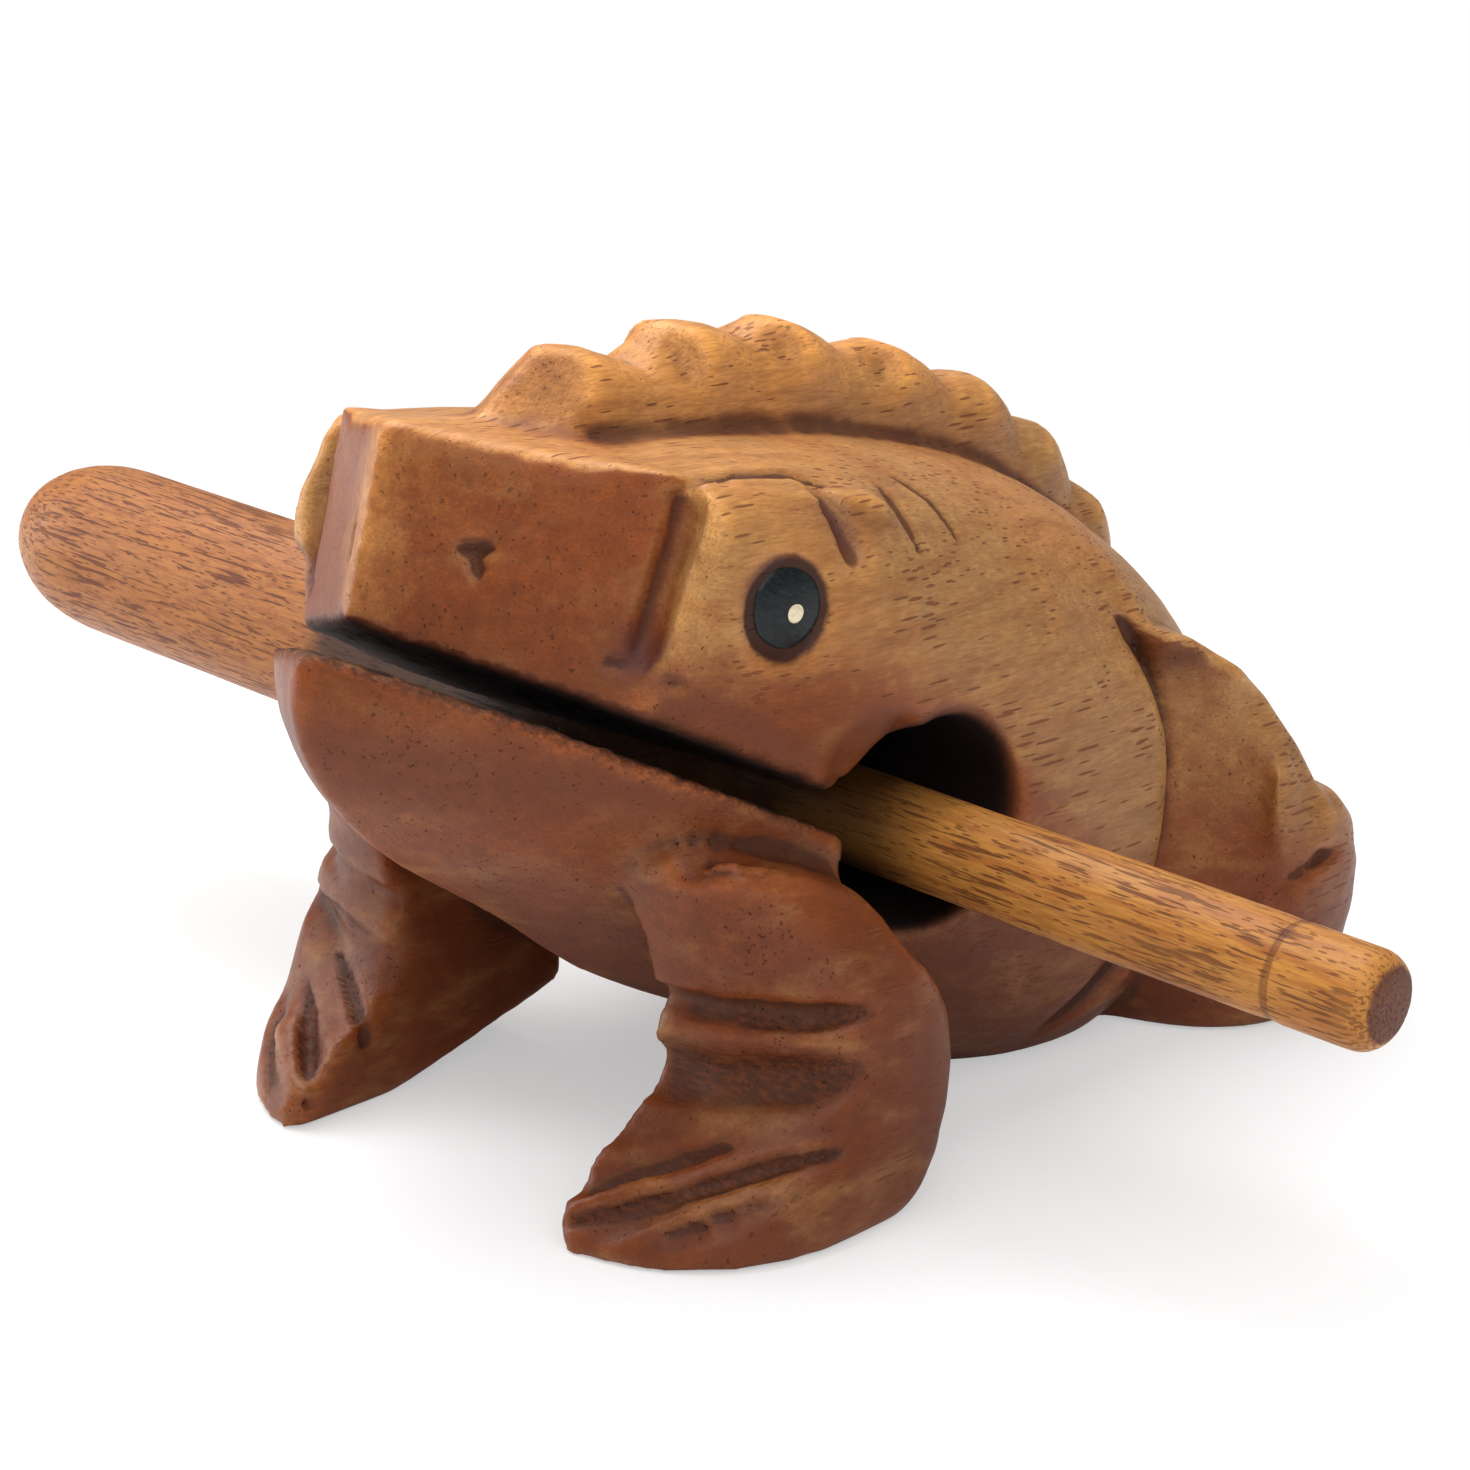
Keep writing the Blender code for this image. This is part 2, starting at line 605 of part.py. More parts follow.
def frog_body():
    """One carved block: the forms are joined first, then the cuts are made."""
    body = trunk()
    both_sides(body, haunch(), "UNION")
    both_sides(body, crease(), "DIFFERENCE")
    for side in (-1.0, 1.0):
        combine(body, front_leg(side), "UNION")
    combine(body, crest(), "UNION")
    combine(body, snout(), "UNION")
    combine(body, hull("right_brow", RIGHT_BROW), "UNION")
    combine(body, jaw(), "UNION")
    combine(body, bore(), "DIFFERENCE")
    combine(body, mouth(), "DIFFERENCE")
    both_sides(body, eye(), "DIFFERENCE")
    both_sides(body, nostril(), "DIFFERENCE")
    scoops(body)
    for cut in GOUGE_CUTS:
        both_sides(body, gouge(*cut), "DIFFERENCE")
    floor = [(-2.0 * REACH, 0.0), (2.0 * REACH, 0.0), (2.0 * REACH, -REACH), (-2.0 * REACH, -REACH)]
    combine(body, prism("floor", floor, -REACH, REACH), "DIFFERENCE")
    body.name = "frog_body"
    body.location.y = -REST_Y * MM
    return body


def rasp_stick():
    """A turned stick: thick and domed on the frog's right, thin on its left."""
    handle_r = BORE_R - STICK_GAP
    profile = []
    for k in range(9):
        angle = 0.5 * math.pi * k / 8
        profile.append((STICK_HANDLE_END + STICK_DOME * (1.0 - math.cos(angle)), handle_r * math.sin(angle)))
    profile.append((STICK_TAPER_FROM, handle_r))
    for k in range(1, 9):
        share = k / 8
        ease = share * share * (3.0 - 2.0 * share)
        x = STICK_TAPER_FROM + (STICK_TAPER_TO - STICK_TAPER_FROM) * share
        profile.append((x, handle_r + (STICK_TIP_R - handle_r) * ease))
    profile.append((STICK_RING_AT - 0.5, STICK_TIP_R))
    profile.append((STICK_RING_AT, STICK_TIP_R - STICK_RING_DEEP))
    profile.append((STICK_RING_AT + 0.5, STICK_TIP_R))
    profile.append((STICK_TIP_END - STICK_CHAMFER, STICK_TIP_R))
    profile.append((STICK_TIP_END - 0.3 * STICK_CHAMFER, STICK_TIP_R - 0.45 * STICK_CHAMFER))
    profile.append((STICK_TIP_END, STICK_TIP_R - STICK_CHAMFER))
    profile.append((STICK_TIP_END, 0.0))
    made = lathe("rasp_stick", profile)
    made.location = Vector((0.0, STICK_Y - REST_Y, STICK_Z)) * MM
    made.rotation_euler = (0.0, math.radians(STICK_FALL), math.radians(STICK_YAW))
    return made


def finish(thing, surface):
    """Give a node its material and smooth its round faces."""
    thing.data.materials.clear()
    thing.data.materials.append(surface)
    thing.data.shade_smooth()


def main():
    clear_scene()
    finish(frog_body(), material("lacquered_wood", (0.43, 0.20, 0.075), 0.42))
    finish(rasp_stick(), material("stick_wood", (0.47, 0.23, 0.07), 0.38))


main()
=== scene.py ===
import math

import bpy
import numpy as np
from mathutils import Matrix, Vector, noise
from mathutils.bvhtree import BVHTree


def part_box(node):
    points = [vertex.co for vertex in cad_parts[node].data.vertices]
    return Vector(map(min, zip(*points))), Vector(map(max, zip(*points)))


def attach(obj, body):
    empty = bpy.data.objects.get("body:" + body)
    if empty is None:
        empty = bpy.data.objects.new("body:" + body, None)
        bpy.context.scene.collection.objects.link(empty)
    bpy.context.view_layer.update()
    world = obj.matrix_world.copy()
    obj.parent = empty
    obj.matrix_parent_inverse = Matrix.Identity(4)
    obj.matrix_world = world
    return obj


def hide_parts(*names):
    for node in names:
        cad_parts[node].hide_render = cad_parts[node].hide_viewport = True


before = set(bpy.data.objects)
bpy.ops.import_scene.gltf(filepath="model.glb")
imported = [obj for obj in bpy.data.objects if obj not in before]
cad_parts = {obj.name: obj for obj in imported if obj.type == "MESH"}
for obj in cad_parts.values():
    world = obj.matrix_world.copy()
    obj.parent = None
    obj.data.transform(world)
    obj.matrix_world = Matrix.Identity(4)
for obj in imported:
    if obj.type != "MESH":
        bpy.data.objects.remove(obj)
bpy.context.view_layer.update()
mm = 0.001
scene = bpy.context.scene
print("frame loaded")


# camera, set where the photograph was taken from
cameraSettings = {
    "place": (195.5, -230.5, 119.0),  # mm
    "azimuth": 43.1,  # degrees round from straight in front
    "elevation": 17.0,
    "lens": 80.82,
}


def addCamera(values):
    azimuth = math.radians(values["azimuth"])
    elevation = math.radians(values["elevation"])
    level = math.cos(elevation)
    back = Vector((math.sin(azimuth) * level, -math.cos(azimuth) * level, math.sin(elevation)))
    right = Vector((math.cos(azimuth), math.sin(azimuth), 0.0))
    data = bpy.data.cameras.new("photoCamera")
    data.lens = values["lens"]
    data.sensor_width = 36.0
    data.clip_start = 0.01
    camera = bpy.data.objects.new("photoCamera", data)
    scene.collection.objects.link(camera)
    turn = Matrix((right, back.cross(right), back)).transposed().to_4x4()
    camera.matrix_world = Matrix.Translation(Vector(values["place"]) * mm) @ turn
    scene.camera = camera


addCamera(cameraSettings)


# shader sums as plain expressions
class Wire:
    def __init__(self, recipe, socket):
        self.recipe = recipe
        self.socket = socket

    def maths(self, operation, *others):
        values = dict(enumerate((self, *others)))
        return self.recipe.node("ShaderNodeMath", {"operation": operation}, values)

    def __add__(self, other):
        return self.maths("ADD", other)

    def __mul__(self, other):
        return self.maths("MULTIPLY", other)

    def __sub__(self, other):
        return self.maths("SUBTRACT", other)

    def __rsub__(self, other):
        values = {0: other, 1: self}
        return self.recipe.node("ShaderNodeMath", {"operation": "SUBTRACT"}, values)

    __radd__ = __add__
    __rmul__ = __mul__


class Recipe:
    def __init__(self, name):
        self.material = bpy.data.materials.new(name)
        self.material.use_nodes = True
        self.tree = self.material.node_tree
        self.surface = self.tree.nodes["Principled BSDF"]

    def node(self, kind, settings=None, values=None, out=0):
        made = self.tree.nodes.new(kind)
        for name, value in (settings or {}).items():
            setattr(made, name, value)
        for name, value in (values or {}).items():
            self.feed(made.inputs[name], value)
        return Wire(self, made.outputs[out])

    def feed(self, socket, value):
        if isinstance(value, Wire):
            self.tree.links.new(value.socket, socket)
        elif isinstance(value, tuple) and len(value) == 3 and socket.type == "RGBA":
            socket.default_value = (*value, 1.0)
        else:
            socket.default_value = value

    def step(self, value, low, high):  # 0 below low, 1 above high, eased between
        values = {"Value": value, "From Min": low, "From Max": high}
        return self.node("ShaderNodeMapRange", {"interpolation_type": "SMOOTHSTEP"}, values)

    def blend(self, share, first, second, kind="MIX"):
        settings = {"data_type": "RGBA", "blend_type": kind, "clamp_factor": True}
        return self.node("ShaderNodeMix", settings, {0: share, 6: first, 7: second}, 2)

    def place(self, turn=(0.0, 0.0, 0.0), scale=(1.0, 1.0, 1.0)):  # place in mm, turned and then stretched
        where = self.node("ShaderNodeTexCoord", None, None, "Object")
        turned = self.node("ShaderNodeMapping", None, {"Vector": where, "Rotation": turn})
        wide = tuple(1000.0 * s for s in scale)
        return self.node("ShaderNodeVectorMath", {"operation": "MULTIPLY"}, {0: turned, 1: wide})

    def shifted(self, where, by):
        return self.node("ShaderNodeVectorMath", {"operation": "ADD"}, {0: where, 1: by})

    def noise(self, where, size, detail=2.0, rough=0.5):
        values = {"Vector": where, "Scale": 1.0 / size, "Detail": detail, "Roughness": rough}
        return self.node("ShaderNodeTexNoise", None, values)

    def cells(self, where, size):  # distance from the nearest of scattered points, in cell sizes
        return self.node("ShaderNodeTexVoronoi", None, {"Vector": where, "Scale": 1.0 / size}, "Distance")

    def along(self, where, axis):
        return self.node("ShaderNodeSeparateXYZ", None, {0: where}, axis)

    def point(self, x, y=0.0, z=0.0):
        return self.node("ShaderNodeCombineXYZ", None, {0: x, 1: y, 2: z})

    def length(self, where):
        return self.node("ShaderNodeVectorMath", {"operation": "LENGTH"}, {0: where}, "Value")

    def facing(self, axis):
        return self.along(self.node("ShaderNodeTexCoord", None, None, "Normal"), axis)

    def attribute(self, name):
        return self.node("ShaderNodeAttribute", {"attribute_name": name}, None, "Fac")

    def finish(self, colour, roughness, height, depth, constants):
        self.feed(self.surface.inputs["Base Color"], colour)
        self.feed(self.surface.inputs["Roughness"], roughness)
        values = {"Height": height, "Distance": depth * mm, "Strength": 1.0}
        self.feed(self.surface.inputs["Normal"], self.node("ShaderNodeBump", None, values))
        for name, value in constants.items():
            self.surface.inputs[name].default_value = value
        return self.material


# working copies of the solids
def pickOnly(piece):
    bpy.ops.object.select_all(action="DESELECT")
    piece.select_set(True)
    bpy.context.view_layer.objects.active = piece


def copyOfNode(node, name):
    piece = bpy.data.objects.new(name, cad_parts[node].data.copy())
    scene.collection.objects.link(piece)
    pickOnly(piece)
    bpy.ops.object.mode_set(mode="EDIT")
    bpy.ops.mesh.select_all(action="SELECT")
    bpy.ops.mesh.remove_doubles(threshold=0.000003)
    bpy.ops.object.mode_set(mode="OBJECT")
    piece.data.materials.clear()
    return piece


def applyModifier(piece, kind, settings):
    pickOnly(piece)
    change = piece.modifiers.new(kind.lower(), kind)
    for name, value in settings.items():
        setattr(change, name, value)
    bpy.ops.object.modifier_apply(modifier=change.name)


def readPoints(mesh, kind="co"):
    flat = np.zeros(len(mesh.vertices) * 3)
    mesh.vertices.foreach_get(kind, flat)
    points = flat.reshape(-1, 3)
    return points / mm if kind == "co" else points


def writePoints(mesh, points):
    mesh.vertices.foreach_set("co", (points * mm).ravel())
    mesh.update()


def keep(piece, name, values):
    kept = piece.data.attributes.new(name, "FLOAT", "POINT")
    kept.data.foreach_set("value", values)


def ease(value, low, high):
    share = np.clip((value - low) / (high - low), 0.0, 1.0)
    return share * share * (3.0 - 2.0 * share)


def roughness(points, size, shift=0.0, stretch=(1.0, 1.0, 1.0)):  # smooth noise between about -1 and 1
    return np.array([noise.noise(Vector(p)) for p in points * stretch / size + shift])


class Net:  # the edges of a mesh, for averaging over neighbours
    def __init__(self, mesh):
        ends = np.zeros(len(mesh.edges) * 2, int)
        mesh.edges.foreach_get("vertices", ends)
        self.ends = ends.reshape(-1, 2)
        self.counts = np.maximum(np.bincount(ends, minlength=len(mesh.vertices)), 1)

    def mean(self, values):
        table = values.reshape(len(self.counts), -1)
        total = np.zeros_like(table)
        for a, b in ((0, 1), (1, 0)):
            for column in range(table.shape[1]):
                total[:, column] += np.bincount(self.ends[:, a], table[self.ends[:, b], column], len(table))
        return (total / self.counts[:, None]).reshape(values.shape)

    def soften(self, values, rounds):
        for _ in range(rounds):
            values = 0.5 * values + 0.5 * self.mean(values)
        return values


def hollowness(net, points, normals, rounds):  # mm below the softened surface, and below 0 on edges
    depth = ((net.soften(points, rounds) - points) * normals).sum(1)
    return net.soften(depth, 2)


def mirrored(points):  # the right side folded over on to the left
    return np.stack((np.abs(points[:, 0]), points[:, 1], points[:, 2]), 1)


shelterRays = {
    "count": 14,
    "reach": 7.0,  # mm
    "lift": 0.12,  # height above the wood at which they start
    "widest": 0.85,  # share of the half sphere that they spread over
    "turn": 2.399963,  # from each ray to the next, so that they spread evenly
    "slant": (0.31, 0.52, 0.79),  # any direction, from which each point's own axes are taken
}


def shelter(mesh, points, normals, values):  # share of the open directions that meet wood within reach
    tree = BVHTree.FromPolygons([tuple(p) for p in points], [tuple(f.vertices) for f in mesh.polygons])
    side = np.cross(normals, values["slant"])
    side /= np.linalg.norm(side, axis=1, keepdims=True) + 1e-9
    other = np.cross(normals, side)
    starts = points + normals * values["lift"]
    met = np.zeros(len(points))
    for ray in range(values["count"]):
        up = 1.0 - (ray + 0.5) / values["count"] * values["widest"]
        out = math.sqrt(1.0 - up * up)
        turn = ray * values["turn"]
        ways = side * (out * math.cos(turn)) + other * (out * math.sin(turn)) + normals * up
        for i, (start, way) in enumerate(zip(starts.tolist(), ways.tolist())):
            hit = tree.ray_cast(start, way, values["reach"])
            if hit[0] is not None:
                met[i] += 1.0 - hit[3] / values["reach"]
    return met / values["count"]


# the carved body; all in mm
frogShape = {
    "voxel": 0.69,
    "softening": (2, 10),  # rounds at the edges, and on the broad faces
    "edgeKept": (0.006, 0.04),  # bend at which a place starts to count as an edge, and counts in full
    "crestKept": 0.75,  # how far the crest's edges are kept
    "crestHeights": (59.5, 63.0),
    "crestHalf": 12.5,
    "soleHeights": (0.4, 2.2),  # edges are kept above these
    "knifeWaves": ((13.0, 0.18), (5.0, 0.08), (2.2, 0.04)),  # size and height of the hand-cut unevenness
    "wavesFrom": (0.3, 3.0),
    "boreAxis": (-25.3, 30.4, 1.5),  # y, z and fall in degrees
    "boreRadius": 9.6,
    "mouthFoot": (-67.2, 51.1),  # y and z where the roof of the mouth meets the nose
    "mouthFall": 27.5,
    "mouthGap": 3.1,
    "tornWidths": (1.1, 0.8),  # at the lower lip and the upper
    "tornHeight": 0.26,
    "flankDisc": (-12.0, 25.0, 23.2),  # y, z and radius of the flank's round edge
    "flankRoll": 2.6,  # how far that edge is rolled in
    "flankRows": (  # y, and the trunk's half width, top and bottom there
        (-5.0, 28.3, 57.0, -4.0),
        (5.0, 27.8, 53.6, -5.5),
        (13.0, 25.8, 49.0, -3.0),
    ),
    "flankMiddle": 25.0,
    "flankPower": 2.5,  # 2 would be an ellipse
    "snoutPlane": ((0.0, -62.6, 66.8), (0.0, -67.2, 51.1), (21.5, -48.7, 62.5)),
    "browLine": ((20.6, -50.4, 62.4), (18.9, -55.0, 46.6)),  # where the snout's face ends in a dark cut
    "fillWidths": ((0.0, 0.7), (5.0, 6.0)),  # beside that line, where the filling starts and stops
    "fillDepth": 3.2,
    "fillHeights": (46.0, 66.0),
    "fillBack": -45.0,
}

# rounded by sanding: centre, reach each way, and rounds of softening
sandedPlaces = {
    "knee": ((33.0, 16.0, 24.5), (7.5, 9.0, 14.0), 150),
    "cheekCorner": ((29.0, -33.0, 36.4), (8.0, 7.0, 6.5), 110),
    "rightFoot": ((-24.0, -46.0, 12.0), (13.0, 12.0, 12.0), 24),
    "flank": ((24.4, 0.0, 45.0), (5.0, 8.0, 8.0), 90),
    "noseRidge": ((0.0, -64.0, 58.0), (3.0, 5.0, 14.0), 8),
    "forehead": ((11.0, -54.5, 65.0), (14.0, 12.0, 3.5), 10),
}

# dark raw wood left in the cuts: place and reach
rawPlaces = {
    "firstArc": ((24.6, -34.6, 58.2), 2.6),
    "secondArc": ((25.6, -27.0, 57.0), 1.6),
    "haunchTop": ((28.2, 9.0, 37.0), 2.2),
    "haunchFront": ((28.8, 9.6, 33.2), 2.4),
    "browCutFoot": ((20.0, -53.8, 49.4), 2.4),
}

# knife strokes: side (0 both, 1 left, -1 right), line, half width and depth
knifeStrokes = (
    # left wrist and toes
    (1, ((14.0, -49.4, 18.0), (23.4, -48.2, 18.5), (29.5, -45.0, 18.6), (34.0, -40.0, 19.4)), 1.5, 0.8),
    (1, ((12.0, -50.6, 12.8), (23.0, -49.8, 13.2), (29.0, -46.4, 13.8), (34.0, -42.0, 14.4)), 4.2, 0.8),
    (1, ((26.4, -50.2, 8.4), (22.9, -53.8, 7.0), (18.6, -57.6, 5.2), (15.0, -61.0, 4.0)), 1.1, 0.9),
    (1, ((33.0, -44.6, 8.0), (29.4, -50.0, 7.2), (25.4, -55.4, 5.6), (19.6, -59.6, 3.2),
         (16.4, -61.6, 2.0)), 1.2, 1.0),
    (1, ((32.6, -48.4, 5.4), (28.4, -54.6, 4.2), (23.0, -59.4, 1.8)), 0.8, 0.5),
    # right wrist and toes
    (-1, ((-23.0, -49.4, 20.0), (-18.5, -49.5, 19.6), (-16.0, -48.8, 17.6)), 0.9, 0.6),
    (-1, ((-31.0, -44.4, 15.0), (-24.6, -48.4, 14.8), (-19.4, -49.4, 14.2), (-15.6, -48.6, 11.4)), 1.0, 0.8),
    (-1, ((-26.6, -50.4, 8.8), (-22.6, -53.9, 6.6), (-18.6, -57.4, 4.2), (-15.8, -60.2, 1.8)), 1.1, 1.1),
    (-1, ((-24.6, -48.2, 11.2), (-20.6, -50.6, 9.6), (-17.6, -52.2, 8.2), (-15.6, -52.6, 5.0)), 1.1, 1.1),
    (-1, ((-29.8, -50.6, 8.2), (-26.4, -55.0, 5.0), (-21.4, -59.6, 1.6)), 0.8, 0.6),
    # under the jaw, and the arcs behind the brow
    (0, ((20.6, -53.8, 31.0), (23.3, -52.0, 31.4), (27.2, -50.0, 32.4), (30.0, -45.0, 31.2),
         (31.0, -41.4, 28.4)), 1.0, 0.7),
    (0, ((20.8, -34.7, 61.2), (24.6, -34.6, 58.4), (26.6, -34.5, 55.2)), 1.2, 0.6),
    (0, ((19.0, -24.5, 58.3), (22.5, -24.9, 55.7), (24.3, -25.1, 53.4)), 1.0, 0.45),
    (0, ((16.4, -21.1, 58.4), (19.7, -18.3, 55.9), (23.3, -18.5, 52.6)), 0.9, 0.35),
    # hind foot, knee and the front of the haunch
    (0, ((31.6, 12.0, 13.0), (33.2, 15.6, 14.4), (34.0, 20.4, 15.8), (34.2, 26.6, 17.4)), 0.7, 0.4),
    (0, ((34.2, 19.6, 25.4), (34.6, 19.4, 22.4)), 0.9, 0.5),
    (0, ((27.8, 6.2, 38.4), (28.9, 7.6, 34.4), (28.6, 8.2, 28.4), (27.7, 9.4, 19.2)), 1.6, 0.6),
    # beside the brow, its foot and the cheek line
    (0, ((21.6, -48.7, 63.0), (20.4, -51.3, 56.9), (20.1, -52.9, 52.9), (19.9, -54.2, 48.6)), 0.8, 1.2),
    (0, ((20.4, -53.7, 49.3), (19.0, -54.6, 48.8), (17.4, -55.7, 48.9)), 0.7, 0.6),
    (0, ((20.4, -53.6, 48.4), (24.0, -51.6, 46.2), (26.0, -47.6, 44.2)), 0.7, 0.4),
    # nostrils
    (1, ((6.6, -60.9, 57.3), (7.8, -60.1, 56.8), (9.4, -58.9, 57.5)), 0.75, 1.0),
    (1, ((7.7, -60.2, 57.0), (8.1, -60.1, 56.0), (8.6, -60.1, 54.8)), 0.7, 0.9),
    (-1, ((-2.8, -63.3, 58.3), (-2.5, -63.9, 57.0), (-2.2, -64.5, 55.6)), 0.75, 0.9),
    # eyelid line
    (0, ((20.6, -49.0, 62.1), (19.6, -43.7, 62.2), (19.3, -36.4, 61.0), (20.6, -32.8, 59.7)), 0.9, 0.6),
)


def nearLine(points, line):  # distance from a line of several pieces, and the share of the line passed there
    best = np.full(len(points), 1e9)
    passed = np.zeros(len(points))
    for i, (start, end) in enumerate(zip(line, line[1:])):
        start = np.array(start)
        way = np.array(end) - start
        share = np.clip((points - start) @ way / (way @ way), 0.0, 1.0)
        away = np.linalg.norm(points - start - share[:, None] * way, axis=1)
        passed = np.where(away < best, (i + share) / (len(line) - 1), passed)
        best = np.minimum(best, away)
    return best, passed


def unit(vector):
    return vector / np.linalg.norm(vector)


def mouthRoofAt(values, y):
    footY, footZ = values["mouthFoot"]
    return footZ - math.tan(math.radians(values["mouthFall"])) * (y - footY)


def rollFlank(points, values):  # its round edge turns in where the haunch begins
    discY, discZ, discReach = values["flankDisc"]
    fromDisc = np.hypot(points[:, 1] - discY, points[:, 2] - discZ)
    places, halves, tops, bottoms = zip(*values["flankRows"])
    half = np.interp(points[:, 1], places, halves)
    middle = values["flankMiddle"]
    above = np.interp(points[:, 1], places, tops) - middle
    below = np.interp(points[:, 1], places, bottoms) - middle
    rise = points[:, 2] - middle
    share = np.clip(np.where(rise > 0.0, rise / above, rise / below), 0.0, 0.999)
    power = values["flankPower"]
    rolled = values["flankRoll"] * ease(fromDisc, discReach - 6.0, discReach + 0.5) ** 2
    limit = half * (1.0 - share ** power) ** (1.0 / power) - rolled
    proud = np.clip(np.abs(points[:, 0]) - limit, 0.0, 9.0) * (np.abs(points[:, 0]) > 20.0)
    proud *= ease(points[:, 1], -6.0, 3.0) * (1.0 - ease(fromDisc, discReach + 0.3, discReach + 0.9))
    points[:, 0] -= np.sign(points[:, 0]) * proud
    return points


def fillSnout(points, values):  # its flat faces run straight to the cut beside the brow
    corner, foot, outer = (np.array(p) for p in values["snoutPlane"])
    high, low = (np.array(p) for p in values["browLine"])
    out = unit(np.cross(foot - corner, outer - corner))
    inward = unit(np.cross(out, high - low))
    inward *= np.sign((corner - high) @ inward)
    hand = np.where(points[:, 0] < 0.0, -1.0, 1.0)
    folded = mirrored(points)
    depth = (folded - corner) @ out
    beside = (folded - high) @ inward
    start, stop = values["fillWidths"]
    lowest, highest = values["fillHeights"]
    fill = ease(beside, *start) * (1.0 - ease(beside, *stop)) * (depth < 0.0) * (depth > -values["fillDepth"])
    fill *= (folded[:, 2] > lowest) & (folded[:, 1] < values["fillBack"]) & (folded[:, 2] < highest)
    fill *= (folded[:, 2] - mouthRoofAt(values, folded[:, 1])) > 0.6
    folded = folded - out * (depth * fill)[:, None]
    folded[:, 0] *= hand
    return folded, beside


def softenBody(net, points, values):
    sharp = net.soften(points, values["softening"][0])
    broad = net.soften(sharp, values["softening"][1])
    bend = net.soften(np.linalg.norm(net.soften(points, 8) - points, axis=1), 3)
    crest = ease(points[:, 2], *values["crestHeights"]) * (np.abs(points[:, 0]) < values["crestHalf"])
    edge = np.maximum(ease(bend, *values["edgeKept"]), crest * values["crestKept"])
    edge = (edge * ease(points[:, 2], *values["soleHeights"]))[:, None]
    points = sharp * edge + broad * (1.0 - edge)
    for centre, reach, rounds in sandedPlaces.values():
        at = points if centre[0] < 0.0 else mirrored(points)
        near = 1.0 - ease(np.linalg.norm((at - centre) / reach, axis=1), 0.6, 1.0)
        points = points + (net.soften(points, rounds) - points) * near[:, None]
    return points


def cutStrokes(points, normals):  # with ragged edges and tapered ends
    ragged = 1.0 + 0.14 * roughness(points, 1.6)
    stain = np.zeros(len(points))
    for hand, line, wide, deep in knifeStrokes:
        away, passed = nearLine(points if hand else mirrored(points), line)
        taper = 0.4 + 0.6 * ease(np.minimum(passed, 1.0 - passed), 0.0, 0.3)
        share = np.clip(1.0 - (away / (wide * taper * ragged)) ** 2, 0.0, 1.0) ** 1.5
        points = points - normals * (share * deep)[:, None]
        stain = np.maximum(stain, share)
    return points, stain


def fromMouth(points, values):  # height above the plane of the mouth's roof
    fall = math.radians(values["mouthFall"])
    footY, footZ = values["mouthFoot"]
    return (points[:, 2] - footZ) * math.cos(fall) + (points[:, 1] - footY) * math.sin(fall)


def fromBoreAxis(points, values):
    axisY, axisZ, fall = values["boreAxis"]
    height = points[:, 2] - axisZ + points[:, 0] * math.tan(math.radians(fall))
    return np.hypot(points[:, 1] - axisY, height)


def tornFibres(roofHeight, fromBore, values):  # share of torn wood, along both lips
    lower, upper = values["tornWidths"]
    torn = np.exp(-((roofHeight + values["mouthGap"]) / lower) ** 2)
    torn += 0.6 * np.exp(-(roofHeight / upper) ** 2)
    return torn * ease(fromBore, 11.0, 16.0)


def handUnevenness(points, torn, values):
    lift = sum(high * roughness(points, size, 3.7 * i) for i, (size, high) in enumerate(values["knifeWaves"]))
    lift += torn * values["tornHeight"] * roughness(points, 0.9, 9.1, (1.0, 0.45, 1.0))
    return lift * ease(points[:, 2], *values["wavesFrom"])


def insideWood(net, normals, roofHeight, fromBore, values):  # share of bore wall or sawn mouth
    fall = math.radians(values["mouthFall"])
    across = np.abs(normals[:, 2] * math.cos(fall) + normals[:, 1] * math.sin(fall))
    half = 0.5 * values["mouthGap"]
    sawn = ease(across, 0.5, 0.9) * (np.abs(roofHeight + half) < half + 0.6)
    bore = 1.0 - ease(fromBore, values["boreRadius"] - 0.1, values["boreRadius"] + 1.2)
    return np.maximum(bore, 0.85 * net.soften(sawn.astype(float), 2))


def makeFrog(values):
    frog = copyOfNode("frog_body", "frog")
    applyModifier(frog, "REMESH", {"mode": "VOXEL", "voxel_size": values["voxel"] * mm})
    mesh = frog.data
    net = Net(mesh)
    points, beside = fillSnout(rollFlank(readPoints(mesh), values), values)
    points = softenBody(net, points, values)
    writePoints(mesh, points)
    normals = readPoints(mesh, "normal")
    points, stain = cutStrokes(points, normals)
    at = mirrored(points)
    places = rawPlaces.values()
    raw = sum(np.exp(-(np.linalg.norm(at - place, axis=1) / reach) ** 2) for place, reach in places)

    roofHeight = fromMouth(points, values)
    fromBore = fromBoreAxis(points, values)
    torn = tornFibres(roofHeight, fromBore, values)
    points = points + normals * handUnevenness(points, torn, values)[:, None]
    low, high = (np.array(corner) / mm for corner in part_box("frog_body"))
    points = np.clip(points, low, high)
    writePoints(mesh, points)
    normals = readPoints(mesh, "normal")

    # what the finish reads at each point
    keep(frog, "fine", hollowness(net, points, normals, 5))
    keep(frog, "broad", hollowness(net, points, normals, 60))
    keep(frog, "shelter", net.soften(shelter(mesh, points, normals, shelterRays), 1))
    keep(frog, "stain", net.soften(stain, 1))
    keep(frog, "torn", np.clip(torn, 0.0, 1.0))
    keep(frog, "inside", insideWood(net, normals, roofHeight, fromBore, values))
    keep(frog, "raw", np.clip(raw, 0.0, 1.0))
    face = ease(points[:, 2], 42.0, 47.0) * ease(points[:, 1], -42.0, -46.0)
    snout = ease(beside, -1.0, 0.0)
    keep(frog, "snout", snout * face)
    keep(frog, "brow", (1.0 - snout) * face)
    pickOnly(frog)
    bpy.ops.object.shade_smooth()
    print("frog mesh", len(mesh.polygons), "faces")
    return frog


